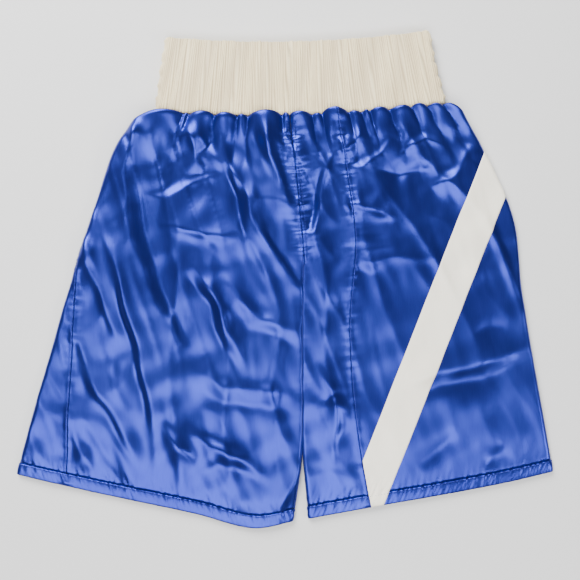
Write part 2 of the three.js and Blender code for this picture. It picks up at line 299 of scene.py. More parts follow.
# Millimetres from the floor to each layer without its folds. The upper one is higher at the
# waistband and lower at the hem, and always keeps its distance from the lower one.
UPPER_HEIGHT, BAND_RISE, HEM_FALL = 8.0, 4.0, 2.5
LOWER_HEIGHT, LAYER_GAP = 0.8, 2.2


def row_shares():
    """The share of the length where each row of the cloth lies."""
    t = np.linspace(0, 1, ROWS + 1)
    return t * (ROW_START + ROW_GROWTH * t)


def rounded(distance, radius):
    """How full a rounded edge is at a distance from it, from 0 to 1."""
    return np.sqrt(np.clip(1 - (1 - np.clip(distance / radius, 0, 1)) ** 2, 0, 1))


def upper_layer(side, f, v, x, y):
    """The upper layer's height, in millimetres, and how freely the cloth folds there."""
    drop = v * LEG_LENGTH
    at_band = beside(drop, BAND_FADE)
    high = UPPER_HEIGHT + BAND_RISE * at_band - HEM_FALL * smooth(v, 0.84, 1)
    wander = 0.016 * ripples(x, y, 36, seed=8) * smooth(drop, 4, 30)
    gathered = 0.8 * puffs(f + wander, drop, PINCHES[side], 9.5) * smooth(drop, -3, 9)
    loose = smooth(drop, 4, 30) * (1 - 0.75 * smooth(v, 0.93, 0.99))
    calm = 1 if side == "left" else 1 - 0.7 * smooth(x, 60, 110) * smooth(-y, -20, 30)
    slant = x + 0.35 * y
    crumple = 2.8 * creases(slant, 0.55 * y, 95, 3) + 1.0 * creases(slant, 0.35 * y, 52, 4) - 1.0
    dimples = 0.75 * ripples(x, y, 46, seed=6) + 0.35 * ripples(x + 0.4 * y, 0.7 * y, 24, seed=9)
    pleats = 1.5 * at_band * ripples(x + 0.15 * y, 0.4 * y, 19, seed=14)
    bumps = fold_height(x, y) + calm * crumple + (0.4 + 0.6 * calm) * dimples + pleats
    # No hollow goes down through the lower layer.
    deepest = DEEPEST - 0.5 * gathered
    bumps = deepest + DEEPEST_BLEND * np.logaddexp(0, (bumps - deepest) / DEEPEST_BLEND)
    return high + gathered + loose * bumps, loose


def lie(side):
    """One half's points, laid out with its folds: rows by columns round the tube, in millimetres."""
    plan = PLANS[side]
    v = row_shares()[:, None]
    column = np.arange(AROUND + 1)[None, :]
    upper = column <= OUTER
    f = np.where(upper, column, AROUND - column) / OUTER
    f, v = np.broadcast_arrays(f, v)
    flat = plan(f, v)
    x, y = flat[..., 0], flat[..., 1]
    width = np.linalg.norm(plan(np.ones_like(f), v) - plan(np.zeros_like(f), v), axis=-1)
    drop = v * LEG_LENGTH
    high, loose = upper_layer(side, f, v, x, y)

    # The lower layer lies on the surface, gathered in its own puffs.
    pinches = np.concatenate([[0], np.sort(rng.uniform(0.05, 0.95, 8)), [1]])
    low = LOWER_HEIGHT + 0.3 * puffs(f, drop, pinches, 7) + 0.5 * loose * creases(x, y, 70, 5)
    low = np.minimum(low, high - LAYER_GAP)

    # The gathered corners are drawn in to the ends of the waistband.
    x = x - HANDS[side] * CORNER_DRAW * (1 - smooth(drop, 0, 11)) * f**8

    # The layers meet in round edges: the outer fold and, below the crotch, the inner leg.
    middle = (high + low) / 2
    radius = np.clip((high - low) / 2, 1, 6)
    leg = smooth(v, CROTCH_SHARE, CROTCH_SHARE + 0.06)
    inner = 1 - leg + leg * rounded(f * width, radius)
    full = rounded((1 - f) * width, radius) * inner
    z = middle + np.where(upper, 1, -1) * (high - low) / 2 * full
    return np.stack([x, y, z], -1)


def weld(grids):
    """Joins the halves. Returns the index of each grid's vertices and their one list."""
    rows = ROWS + 1
    columns = AROUND + 1
    crotch = int(np.searchsorted(row_shares(), CROTCH_SHARE))
    index = {side: np.arange(rows * columns).reshape(rows, columns) for side in HALVES}
    index["right"] = index["right"] + rows * columns
    left, right = index["left"], index["right"]
    right[: crotch + 1, 0] = left[: crotch + 1, 0]
    right[: crotch + 1, -1] = left[: crotch + 1, -1]
    left[crotch:, -1] = left[crotch:, 0]
    right[crotch:, -1] = right[crotch:, 0]
    left[crotch, -1] = right[crotch, -1] = right[crotch, 0] = left[crotch, 0]
    used, inverse = np.unique(np.concatenate([left.ravel(), right.ravel()]), return_inverse=True)
    inverse = inverse.reshape(2, rows, columns)
    flat = np.concatenate([grids["left"].reshape(-1, 3), grids["right"].reshape(-1, 3)])
    return {"left": inverse[0], "right": inverse[1]}, flat[used]


def quads(index, flip):
    """The quads between neighbours of a grid of vertex numbers."""
    a, b, c, d = index[:-1, :-1], index[:-1, 1:], index[1:, 1:], index[1:, :-1]
    order = (a, b, c, d) if flip else (a, d, c, b)
    return np.stack([o.ravel() for o in order], 1)


def make_mesh(name, points, faces):
    """A new smooth-shaded object."""
    mesh = bpy.data.meshes.new(name)
    mesh.from_pydata([tuple(p) for p in points], [], [tuple(f) for f in faces])
    mesh.polygons.foreach_set("use_smooth", [True] * len(mesh.polygons))
    obj = bpy.data.objects.new(name, mesh)
    bpy.context.scene.collection.objects.link(obj)
    return obj


def square(name, reach):
    """A flat square on the floor, reach metres from its middle to each side."""
    corners = [(-reach, -reach, 0), (reach, -reach, 0), (reach, reach, 0), (-reach, reach, 0)]
    return make_mesh(name, corners, [(0, 1, 2, 3)])


def insert_card(side):
    """A thin slab inside one half, which keeps the two layers apart while they settle."""
    plan, hand = PLANS[side], HANDS[side]
    f, v = np.meshgrid(np.linspace(0.035, 0.955, 24), np.linspace(0.03, 1.03, 40))
    at = plan(f, np.minimum(v, 1.0))
    at[..., 1] -= np.where(v > 1, 8, 0)  # the last row reaches out past the hem
    rise = 1.6 * beside(v * LEG_LENGTH, BAND_FADE)
    top = np.concatenate([at, (INSERT_HIGH + rise)[..., None]], -1)
    bottom = np.concatenate([at, (INSERT_LOW + 0.5 * rise)[..., None]], -1)
    rows, columns = f.shape
    index = np.arange(rows * columns).reshape(rows, columns)
    upward = hand < 0
    faces = np.vstack([quads(index, not upward), quads(index + rows * columns, upward)])
    points = np.concatenate([top.reshape(-1, 3), bottom.reshape(-1, 3)])
    return points * MM * SCALE, faces


def pin(cloth, index):
    """Holds the waist seam, and the outer folds and hems more loosely."""
    pins = cloth.vertex_groups.new(name="pins")
    weights = np.zeros(len(cloth.data.vertices))
    for side in HALVES:
        grid = index[side]
        weights[grid[:, OUTER]] = 0.5
        weights[grid[-1, :]] = 0.25
        weights[grid[0, :]] = 1
    for w in np.unique(weights[weights > 0]):
        pins.add([int(i) for i in np.nonzero(weights == w)[0]], float(w), "REPLACE")


def make_soft(cloth):
    """Gives the pinned mesh Blender's Cloth, light and well damped."""
    modifier = cloth.modifiers.new("Cloth", "CLOTH")
    settings = modifier.settings
    settings.quality = 6
    settings.mass = 0.01
    settings.effector_weights.gravity = 0.01
    settings.air_damping = 2.5
    settings.tension_stiffness = 60
    settings.compression_stiffness = 60
    settings.shear_stiffness = 4
    settings.bending_stiffness = 1
    settings.tension_damping = 8
    settings.compression_damping = 8
    settings.shear_damping = 6
    settings.bending_damping = 0.6
    settings.vertex_group_mass = "pins"
    modifier.collision_settings.use_collision = True
    modifier.collision_settings.use_self_collision = False
    modifier.collision_settings.distance_min = 0.002
    modifier.collision_settings.collision_quality = 2
    modifier.point_cache.frame_start = 1
    modifier.point_cache.frame_end = FRAMES


def make_colliders():
    """The inserts and the ground, which the cloth lies on."""
    colliders = [make_mesh("insert_" + side, *insert_card(side)) for side in HALVES]
    colliders.append(square("ground", 5))
    for obj in colliders:
        obj.modifiers.new("Collision", "COLLISION")
        obj.collision.thickness_outer = 0.004
        obj.collision.thickness_inner = 0.02
        obj.collision.cloth_friction = 12
        obj.collision.damping = 0.6
    return colliders


def simulate():
    """Lets the laid-out cloth settle, and returns each half's grid of points, in metres."""
    index, points = weld({side: lie(side) for side in HALVES})
    faces = np.vstack([quads(index["left"], True), quads(index["right"], False)])
    faces = faces[[len(set(f)) == 4 for f in faces.tolist()]]
    cloth = make_mesh("cloth", points * MM * SCALE, faces)
    pin(cloth, index)
    make_soft(cloth)
    colliders = make_colliders()

    scene = bpy.context.scene
    scene.frame_start, scene.frame_end = 1, FRAMES
    for number in range(1, FRAMES + 1):
        scene.frame_set(number)
    shown = cloth.evaluated_get(bpy.context.evaluated_depsgraph_get())
    points = np.empty(len(shown.data.vertices) * 3)
    shown.data.vertices.foreach_get("co", points)
    points = points.reshape(-1, 3) / SCALE
    for obj in [cloth, *colliders]:
        bpy.data.objects.remove(obj)
    scene.frame_set(1)
    return {side: points[index[side]] for side in HALVES}


grids = simulate()

# ------------ reading the settled cloth


def extended(side):
    """The half's grid with one more row and column on every side, for smoothing."""
    grid, other = grids[side], grids["right" if side == "left" else "left"]
    joined = (row_shares() < CROTCH_SHARE)[:, None]
    before = np.where(joined, other[:, 1], grid[:, -2])
    after = np.where(joined, other[:, -2], grid[:, 1])
    grid = np.concatenate([before[:, None], grid, after[:, None]], 1)
    return np.concatenate([2 * grid[:1] - grid[1:2], grid, 2 * grid[-1:] - grid[-2:-1]], 0)


EXTENDED = {side: extended(side) for side in HALVES}


def spline_weights(t):
    """A cubic B-spline's four weights at the share t of the way between two points."""
    return np.stack([(1 - t) ** 3, 3 * t**3 - 6 * t**2 + 4, -3 * t**3 + 3 * t**2 + 3 * t + 1, t**3]) / 6


def settled(side, column, v):
    """The cloth's middle surface at any column and share of the length, as a smooth spline."""
    # row_shares() undone
    root = np.sqrt(ROW_START**2 + 4 * ROW_GROWTH * np.clip(v, 0, 1))
    row = ROWS * (root - ROW_START) / (2 * ROW_GROWTH)
    i = np.clip(np.floor(row).astype(int), 0, ROWS - 1)
    j = np.clip(np.floor(column).astype(int), 0, AROUND - 1)
    down, across = spline_weights(row - i), spline_weights(column - j)
    grid = EXTENDED[side]
    point = np.zeros(row.shape + (3,))
    for a in range(4):
        for b in range(4):
            point += (down[a] * across[b])[..., None] * grid[i + a, j + b]
    return point


def half_width(side, v):
    """Millimetres from the inner edge to the outer fold at each share of the length."""
    plan, shares = PLANS[side], np.linspace(0, 1, 60)
    length = np.linalg.norm(plan(np.ones(60), shares) - plan(np.zeros(60), shares), axis=-1)
    return np.interp(v, shares, length)


def seam_column(side, face, v):
    """The column of a side seam at each share of the length."""
    waist, hem, bow = SIDE_SEAMS[side][face]
    offset = waist + (hem - waist) * v + 4 * bow * v * (1 - v)
    return OUTER * (1 + offset / half_width(side, v))


def gathers_at_waist(side, column, v):
    """How far the upper layer's puffs stand up and roll over the waistband, in millimetres."""
    f, drop = column / OUTER, v * LEG_LENGTH
    rise, lip = np.full(f.shape, 1.2), np.full(f.shape, 1.8)
    dice = np.random.default_rng(len(PINCHES[side]))
    for a, b in zip(PINCHES[side], PINCHES[side][1:]):
        width = (b - a) * half_width(side, v)
        lean, full = dice.uniform(0.65, 1.5), dice.uniform(0.65, 1.15)
        dome = full * np.sqrt(np.sin(np.pi * np.clip((f - a) / (b - a), 0, 1) ** lean))
        rise += (3.4 + np.minimum(0.1 * width, 3)) * dome
        lip += (3.2 + np.minimum(0.16 * width, 4.5)) * dome
    rise *= (1 - np.exp(-drop / 1.6)) * np.exp(-drop / 16)
    lip *= drop / 5.5 * np.exp(1 - drop / 5.5)
    return rise * (column < OUTER), lip * (column < OUTER)


def pucker(distance, along, reach, pitch, height, seed):
    """Small ripples across a row of stitches."""
    return height * np.exp(-((distance / reach) ** 1.4)) * ripples(along, 0.25 * distance, pitch, seed, 6)


def relief(side, column, v):
    """How the sewing shapes the cloth, in millimetres outwards from the settled surface."""
    pitch = half_width(side, v) / OUTER
    along = v * LEG_LENGTH
    from_inner = np.minimum(column, AROUND - column) * pitch
    # The centre seam's strip stands up, and the row of stitches along it is drawn in.
    body = 1 - smooth(v, CROTCH_SHARE - 0.02, CROTCH_SHARE + 0.02)
    height = 0.3 * body * (1 - smooth(from_inner, CENTRE_ROW, CENTRE_ROW + 1.4))
    height -= 0.26 * body * beside(from_inner - CENTRE_ROW, 0.9)
    from_row = np.abs(from_inner - CENTRE_ROW * body)
    height += pucker(from_row, along, 7, 6, 0.55, 21) * (0.3 + 0.7 * body)
    # Below the crotch the legs' inner edges stand out a little, and close the gap there.
    below_crotch = (v - CROTCH_SHARE) * LEG_LENGTH
    height += 1.1 * beside(from_inner, 2.5) * beside(below_crotch - 5, 6)
    # Each side seam stands up, and is drawn in along its middle.
    for number, face in enumerate(("back", "front")):
        distance = np.abs(column - seam_column(side, face, v)) * pitch
        height += 0.7 * beside(distance, 3) - 0.16 * beside(distance, 0.9)
        height += pucker(distance, along, 6, 7, 0.35, 31 + number)
    # The hem is drawn in at its stitches and full between them and its edge.
    from_hem = (v - HEM_SHARE) * LEG_LENGTH
    height -= 0.2 * beside(from_hem, 1)
    height += pucker(np.abs(from_hem), column * pitch + 0.5 * from_hem, 9, 6, 0.45, 41)
    turned = np.clip((v - HEM_SHARE) / (1 - HEM_SHARE), 0, 1)
    return height + 0.7 * np.sin(np.pi * turned) ** 0.7


def cloth_at(side, column, v, lift=0.0):
    """A point of the cloth's outside, lift millimetres off it, and the direction out of it."""
    column, v = np.broadcast_arrays(np.asarray(column, float), np.asarray(v, float))
    left, right = (np.clip(column + step, 0, AROUND) for step in (-0.5, 0.5))
    above, below = (np.clip(v + step, 0, 1) for step in (-0.004, 0.004))
    across = settled(side, right, v) - settled(side, left, v)
    down = settled(side, column, below) - settled(side, column, above)
    out = np.cross(across, down) * -HANDS[side]
    out /= np.linalg.norm(out, axis=-1, keepdims=True)
    point = settled(side, column, v) + out * ((relief(side, column, v) + lift) * MM)[..., None]
    rise, lip = gathers_at_waist(side, column, v)
    point[..., 1] += lip * MM
    point[..., 2] += rise * MM
    point[..., 2] = np.maximum(point[..., 2], 0.15 * MM)
    return point, out


# ------------ materials


def principled(name, color, **inputs):
    """A new material, its nodes, links and shader. The inputs are the shader's own sockets."""
    material = bpy.data.materials.new(name)
    material.use_nodes = True
    shader = material.node_tree.nodes["Principled BSDF"]
    shader.inputs["Base Color"].default_value = (*color, 1)
    for key, value in inputs.items():
        shader.inputs[key.replace("_", " ")].default_value = value
    return material, material.node_tree.nodes, material.node_tree.links, shader


PATCH_SCALE = 9  # the dye patches to the metre, about
STREAK_SCALE = (840, 60, 1)  # the streaks to the metre, across the warp and along it
PATCH_SHARE = 0.72  # of the patches in the dye's and gloss's variation; streaks are the rest


def woven(name, dark, light, fine, rough, bump=0.12, **inputs):
    """A cloth: two close dyes in soft patches, streaks along the warp, and a fine weave.

    fine is the weave's threads to the metre, rough the range of its roughness, bump how
    strongly the weave shows, and the inputs are the shader's own sockets.
    """
    material, nodes, links, shader = principled(name, light, **inputs)
    place = nodes.new("ShaderNodeUVMap")
    place.uv_map = "cloth"

    def mapped(scale):
        mapping = nodes.new("ShaderNodeMapping")
        mapping.inputs["Scale"].default_value = scale
        links.new(place.outputs["UV"], mapping.inputs["Vector"])
        return mapping.outputs["Vector"]

    def noise(scale, detail, size):
        node = nodes.new("ShaderNodeTexNoise")
        node.inputs["Scale"].default_value = size
        node.inputs["Detail"].default_value = detail
        links.new(mapped(scale), node.inputs["Vector"])
        return node.outputs["Fac"]

    def scaled(value, factor, added=None):
        node = nodes.new("ShaderNodeMath")
        node.operation = "MULTIPLY" if added is None else "MULTIPLY_ADD"
        node.inputs[1].default_value = factor
        links.new(value, node.inputs[0])
        if added is not None:
            links.new(added, node.inputs[2])
        return node.outputs[0]

    patches = noise((1, 1, 1), 4, PATCH_SCALE)
    streaks = noise(STREAK_SCALE, 3, 1)
    blend = scaled(patches, PATCH_SHARE, scaled(streaks, 1 - PATCH_SHARE))
    ramp = nodes.new("ShaderNodeValToRGB")
    ramp.color_ramp.elements[0].position = 0.3
    ramp.color_ramp.elements[0].color = (*dark, 1)
    ramp.color_ramp.elements[1].position = 0.7
    ramp.color_ramp.elements[1].color = (*light, 1)
    links.new(blend, ramp.inputs["Fac"])
    links.new(ramp.outputs["Color"], shader.inputs["Base Color"])

    gloss = nodes.new("ShaderNodeMapRange")
    gloss.inputs["To Min"].default_value = rough[0]
    gloss.inputs["To Max"].default_value = rough[1]
    links.new(blend, gloss.inputs["Value"])
    links.new(gloss.outputs["Result"], shader.inputs["Roughness"])

    weave = nodes.new("ShaderNodeTexWave")
    weave.bands_direction = "DIAGONAL"
    weave.inputs["Scale"].default_value = fine
    weave.inputs["Distortion"].default_value = 2.0
    links.new(mapped((1, 0.35, 1)), weave.inputs["Vector"])
    bumps = nodes.new("ShaderNodeBump")
    bumps.inputs["Strength"].default_value = bump
    bumps.inputs["Distance"].default_value = 0.0002
    links.new(scaled(streaks, 0.35, weave.outputs["Fac"]), bumps.inputs["Height"])
    links.new(bumps.outputs["Normal"], shader.inputs["Normal"])
    return material


def paint_shade_in_creases(material, attribute, color):
    """Paints shade into a material's colour: darkens it towards a shade colour where the mesh's attribute
    is low, as in the creases.
    """
    nodes, links = material.node_tree.nodes, material.node_tree.links
    shader = nodes["Principled BSDF"]
    dye = shader.inputs["Base Color"].links[0].from_socket
    depth = nodes.new("ShaderNodeAttribute")
    depth.attribute_name = attribute
    mix = nodes.new("ShaderNodeMix")
    mix.data_type = "RGBA"
    # A mix node has sockets for each kind of data. These are the colours'.
    factor, low, high = (mix.inputs[number] for number in (0, 6, 7))
    low.default_value = (*color, 1)
    links.new(depth.outputs["Fac"], factor)
    links.new(dye, high)
    links.new(mix.outputs[2], shader.inputs["Base Color"])


def add_attribute(obj, name, values):
    """Stores one value from 0 to 1 at each vertex, as a grey colour."""
    layer = obj.data.color_attributes.new(name, "FLOAT_COLOR", "POINT")
    shade = np.clip(values.ravel(), 0, 1)
    layer.data.foreach_set("color", np.stack([shade, shade, shade, shade * 0 + 1], -1).ravel())


SATIN = woven(
    "satin_blue",
    (0.016, 0.023, 0.24),
    (0.026, 0.041, 0.34),
    fine=260,
    rough=(0.30, 0.37),
    bump=0.04,
    Metallic=0.9,
    Anisotropic=0.4,
    Sheen_Weight=0.08,
    Sheen_Roughness=0.4,
    Sheen_Tint=(0.45, 0.55, 1, 1),
)
CASING = woven(
    "waistband_cream",
    (0.76, 0.64, 0.38),
    (0.88, 0.77, 0.50),
    fine=240,
    rough=(0.42, 0.55),
    Sheen_Weight=0.3,
    Sheen_Roughness=0.4,
)
ELASTIC = woven(
    "elastic_white",
    (0.5, 0.5, 0.47),
    (0.65, 0.64, 0.6),
    fine=120,
    rough=(0.7, 0.85),
    bump=0.4,
)
TAPE = woven(
    "tape_cream",
    (0.88, 0.83, 0.70),
    (0.95, 0.91, 0.80),
    fine=300,
    rough=(0.34, 0.46),
    Sheen_Weight=0.2,
    Specular_IOR_Level=0.6,
    Anisotropic=0.3,
)
# Painted shade: the casing's colour darkens towards brown in the creases between its fine gathers.
paint_shade_in_creases(CASING, "crest", (0.54, 0.43, 0.26))
BLUE_THREAD = woven(
    "thread_blue",
    (0.012, 0.02, 0.18),
    (0.025, 0.045, 0.34),
    fine=1500,
    rough=(0.5, 0.7),
    bump=0.5,
)
CREAM_THREAD = woven(
    "thread_cream",
    (0.5, 0.45, 0.36),
    (0.7, 0.65, 0.55),
    fine=1500,
    rough=(0.4, 0.6),
    bump=0.5,
)

# ------------ pieces

PANEL_ROWS, WIDE_COLUMNS, NARROW_COLUMNS = 240, 170, 90
HEM_COLUMNS = 420
HEM_DEPTH = 1.1  # millimetres from a hem's outside to its turned-up layer
TAPE_ROWS, TAPE_COLUMNS = 260, 30
TAPE_END = OUTER + 5  # the column just round the outer fold where the tape ends

# The flat width and length of each panel and hem before it is gathered, in metres, and
# each panel's area.
FLAT_SIZES = {
    "back_panel_left": ((0.26, 0.43), 0.105),
    "side_panel_left": ((0.24, 0.42), 0.066),
    "front_panel_left": ((0.12, 0.43), 0.039),
    "back_panel_right": ((0.07, 0.43), 0.025),
    "side_panel_right": ((0.27, 0.42), 0.091),
    "front_panel_right": ((0.21, 0.43), 0.079),
    "hem_left": ((0.026, 0.6), None),
    "hem_right": ((0.026, 0.54), None),
}


def grid_piece(name, points, uv, material, flip=False, wrap=False, close=False):
    """A mesh over a grid of points, with the grid's UVs in metres.

    wrap joins its last column to the first, and close its last row to the first.
    """
    rows, columns = points.shape[:2]
    index = np.arange(rows * columns).reshape(rows, columns)
    if wrap:
        index = np.concatenate([index, index[:, :1]], 1)
        uv = np.concatenate([uv, uv[:, -1:] * 2 - uv[:, -2:-1]], 1)
    if close:
        index = np.concatenate([index, index[:1]], 0)
        uv = np.concatenate([uv, uv[-1:]], 0)
    obj = make_mesh(name, points.reshape(-1, 3), quads(index, flip))
    corners = np.arange(uv.shape[0] * uv.shape[1]).reshape(uv.shape[:2])
    layer = obj.data.uv_layers.new(name="cloth")
    layer.data.foreach_set("uv", uv.reshape(-1, 2)[quads(corners, flip)].reshape(-1))
    obj.data.materials.append(material)
    return obj


def stands_for(obj, node):
    """Puts a finished piece in the place of a CAD node."""
    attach(obj, "root")
    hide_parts(node)
    return obj


def thicken(obj, thickness):
    """Gives a sheet its thickness, inwards from the surface."""
    solid = obj.modifiers.new("Thickness", "SOLIDIFY")
    solid.thickness = thickness
    solid.offset = -1
    return obj


def cloth_uv(side, column, v):
    """UVs in metres: round the leg from the inner edge, and down from the waist seam."""
    column, v = np.broadcast_arrays(column, v)
    return np.stack([column * half_width(side, v) / OUTER, -v * LEG_LENGTH], -1) * MM


def panel(node, side, first, last):
    """A sewn panel between two lines, each a column for every share of the length.

    Its rows lie closer together near the waist, where the gathers are.
    """
    flat, area = FLAT_SIZES[node]
    v = np.linspace(0, 1, PANEL_ROWS)[:, None]
    v = HEM_SHARE * v * (0.3 + 0.7 * v)
    t = np.linspace(0, 1, WIDE_COLUMNS if flat[0] > 0.2 else NARROW_COLUMNS)[None, :]
    column = first(v) * (1 - t) + last(v) * t
    points, _ = cloth_at(side, column, v)
    uv = cloth_uv(side, column, v)
    obj = thicken(grid_piece(node + "_cloth", points, uv, SATIN, flip=side == "left"), CLOTH)
    stands_for(obj, node)
    return obj


def straight(column):
    """A line that keeps to one column all the way down."""
    return lambda v: column + 0 * v


def panels():
    """The three panels of each leg, from the centre seam round to the centre seam again."""
    for side in HALVES:
        back = lambda v, side=side: seam_column(side, "back", v)
        front = lambda v, side=side: seam_column(side, "front", v)
        panel("back_panel_" + side, side, straight(0.0), back)
        panel("side_panel_" + side, side, back, front)
        panel("front_panel_" + side, side, front, straight(float(AROUND)))


def hem(side):
    """The panels' lower edge, turned up inside and sewn down."""
    outside = np.linspace(HEM_SHARE, 1, 12)
    inside = np.linspace(1, HEM_SHARE + 0.002, 10)
    v = np.concatenate([outside, inside])[:, None]
    lift = np.concatenate([0 * outside, 0 * inside - HEM_DEPTH])[:, None]
    column = np.linspace(0, AROUND, HEM_COLUMNS, endpoint=False)[None, :]
    column, v, lift = np.broadcast_arrays(column, v, lift)
    points, _ = cloth_at(side, column, v, lift)
    uv = cloth_uv(side, column, v)
    node = "hem_" + side
    ring = grid_piece(node + "_cloth", points, uv, SATIN, flip=side == "left", wrap=True)
    obj = thicken(ring, THIN_CLOTH)
    stands_for(obj, node)
    return obj


def tape():
    """The broad tape that slants down the right side panel, on to the hem."""
    v = np.linspace(0.02, 1.0, TAPE_ROWS)
    columns = np.arange(TAPE_END + 17)
    pitch = (half_width("right", v) / OUTER)[:, None]
    on_top = PLANS["right"](np.minimum(columns / OUTER, 1)[None, :], v[:, None])
    from_point = on_top - TAPE_POINT / MM
    across = from_point[..., 0] * math.cos(TAPE_LEAN) - from_point[..., 1] * math.sin(TAPE_LEAN)
    across += np.maximum(columns - OUTER, 0) * pitch * math.cos(TAPE_LEAN)
    half = TAPE_WIDTH / MM / 2
    offsets = np.linspace(-half, half, TAPE_COLUMNS)
    column = np.stack([np.interp(offsets, row, columns) for row in across])
    # It starts a millimetre from the seam beside it. Rows without it are left out.
    start = seam_column("right", "back", v)[:, None] + 1.0 / pitch
    column = np.clip(column, start, TAPE_END)
    shown = column[:, -1] - column[:, 0] > 0.15
    column, v = column[shown], v[shown][:, None]
    edge = np.abs(offsets / half)[None, :] ** 12
    points, _ = cloth_at("right", column, v, 0.55 - 0.35 * edge)
    uv = np.stack(np.broadcast_arrays(offsets[None, :], -v * LEG_LENGTH), -1) * MM
    obj = thicken(grid_piece("side_stripe_tape_cloth", points, uv, TAPE), THIN_CLOTH)
    stands_for(obj, "side_stripe_tape")
    return obj


STITCH_LIFT = 0.15  # millimetres that a thread stands off the cloth
STITCH_SIDES = 6  # as stitch_quads() counts on
# Each ring of points along a stitch: its share of the length, its share of the radius, and
# how high it lies in millimetres.
STITCH_RINGS = [(0, 0.25, -0.25), (0.2, 0.8, 0.12), (0.5, 1, 0.25), (0.8, 0.8, 0.12), (1, 0.25, -0.25)]


def stitch_quads():
    """The quads of one stitch's points: round its sides, and two at each end."""
    around = np.arange(len(STITCH_RINGS) * STITCH_SIDES).reshape(-1, STITCH_SIDES)
    around = np.concatenate([around, around[:, :1]], 1)
    ends = [around[0, [0, 5, 4, 3]], around[0, [0, 3, 2, 1]], around[-1, :4], around[-1, [0, 3, 4, 5]]]
    return [*quads(around, True), *ends]


def stitches_along(path, out, length, gap, radius):
    """The rings of points of every stitch along a line."""
    share, girth, rise = np.array(STITCH_RINGS).T
    run = distances(path)
    starts = np.arange(0, run[-1] - length * MM, (length + gap) * MM)
    at = starts[:, None] + share * length * MM
    middle, up = follow(path, run, at), follow(out, run, at)
    along = middle[:, -1:] - middle[:, :1]
    side = np.cross(along, up)
    side /= np.linalg.norm(side, axis=-1, keepdims=True) + 1e-12
    turn = np.linspace(0, 2 * np.pi, STITCH_SIDES, endpoint=False)
    girth = girth[:, None] * radius * MM
    upwards = (rise * MM)[:, None] + girth * np.sin(turn)
    sideways = girth * np.cos(turn)
    ring = middle[..., None, :] + up[..., None, :] * upwards[..., None]
    ring += side[..., None, :] * sideways[..., None]
    ring[..., 2] = np.maximum(ring[..., 2], 0.02 * MM)
    return ring


def stitches(node, lines, material, slot, length=2.3, gap=0.9, radius=0.24):
    """Rows of stitches, each one a spindle. Sizes are in millimetres.

    Each line is its points, close together, and the directions out of the cloth there.
    """
    points, faces, count = [], [], 0
    for path, out in lines:
        rings = stitches_along(path, out, length, gap, radius)
        points.append(rings.reshape(-1, 3))
        first = count + np.arange(len(rings))[:, None] * len(STITCH_RINGS) * STITCH_SIDES
        faces += [first + quad for quad in stitch_quads()]
        count += len(points[-1])
    obj = make_mesh(node + "_thread", np.concatenate(points), np.concatenate(faces))
    layer = obj.data.uv_layers.new(name="cloth")
    places = np.array([v.co[:2] for v in obj.data.vertices])
    corners = np.empty(len(obj.data.loops), int)
    obj.data.loops.foreach_get("vertex_index", corners)
    layer.data.foreach_set("uv", places[corners].reshape(-1))
    obj.data.materials.append(material)
    return stands_for(obj, node)


def sewing():
    """Every row of stitches on the body: side seams, inner legs, hems and centre seams."""
    down = np.linspace(0.012, HEM_SHARE - 0.004, 500)
    body = down[down < CROTCH_SHARE]
    leg = down[down > CROTCH_SHARE + 0.01]
    for side in HALVES:
        for face in ("back", "front"):
            seam = seam_column(side, face, down)
            offset = 0.9 * OUTER / half_width(side, down)
            row = cloth_at(side, seam + offset, down)
            stitches(f"side_seam_stitching_{face}_{side}", [row], BLUE_THREAD, "thread_blue", radius=0.2)
        inseam = cloth_at(side, 0.8, leg, STITCH_LIFT)
        stitches("inseam_stitching_" + side, [inseam], BLUE_THREAD, "thread_blue")
        round_leg = np.linspace(0, AROUND, 900)
        hem_row = cloth_at(side, round_leg, HEM_SHARE + 0.003, STITCH_LIFT)
        stitches("hem_stitching_" + side, [hem_row], BLUE_THREAD, "thread_blue")
    for face in ("back", "front"):
        rows = []
        for side in HALVES:
            offset = CENTRE_ROW * OUTER / half_width(side, body)
            column = offset if face == "back" else AROUND - offset
            rows.append(cloth_at(side, column, body, STITCH_LIFT))
        stitches("centre_seam_stitching_" + face, rows, BLUE_THREAD, "thread_blue", length=2.0, gap=1.0)


# ------------ waistband

BAND_REACH = BAND_HALF_BOTTOM - BAND_THICKNESS / 2  # from its middle to where its ends bend
BAND_BEND = math.pi * (BAND_THICKNESS / 2)
BAND_AROUND = 2 * (2 * BAND_REACH + BAND_BEND)
CASING_DEPTH = 5.4 * MM
ELASTIC_INSET, ELASTIC_THICKNESS = 3.3 * MM, 0.9 * MM
JOIN_OFFSET = 11 * MM  # from the waistband's middle to its join


def band_outline(share, inset):
    """Across and up of the flattened ring at a share of the way round, inset from its outside."""
    radius = BAND_THICKNESS / 2 - inset
    flat_run = 2 * BAND_REACH
    run = share * BAND_AROUND
    x, z = np.empty(share.shape), np.empty(share.shape)
    for start, end in ((0, 1), (flat_run + BAND_BEND, -1)):
        here = run - start
        flat = (here >= 0) & (here < flat_run)
        x = np.where(flat, end * (here - BAND_REACH), x)
        z = np.where(flat, -end * radius, z)
        angle = (here - flat_run) / BAND_BEND * math.pi - math.pi / 2
        turned = (here >= flat_run) & (here <= flat_run + BAND_BEND)
        x = np.where(turned, end * (BAND_REACH + radius * np.cos(angle)), x)
        z = np.where(turned, end * radius * np.sin(angle), z)
    return x, z


def band_at(share, height, inset):
    """A point of the waistband. Height is above its lower edge; all but share in metres."""
    share, height, inset = np.broadcast_arrays(share, height, inset)
    x, z = band_outline(share, inset)
    part = x / BAND_HALF_BOTTOM
    x = part * (BAND_HALF_BOTTOM + (BAND_HALF_TOP - BAND_HALF_BOTTOM) * height / BAND_HEIGHT)
    y = height - BAND_HEIGHT / 2 - BAND_BOW * (1 - part**2)
    cos, sin = math.cos(BAND_TILT), math.sin(BAND_TILT)
    point = np.stack([x * cos - y * sin, x * sin + y * cos, z + BAND_THICKNESS / 2], -1)
    point[..., :2] += BAND_CENTRE
    point[..., 2] = np.maximum(point[..., 2], 0.1 * MM)
    return point


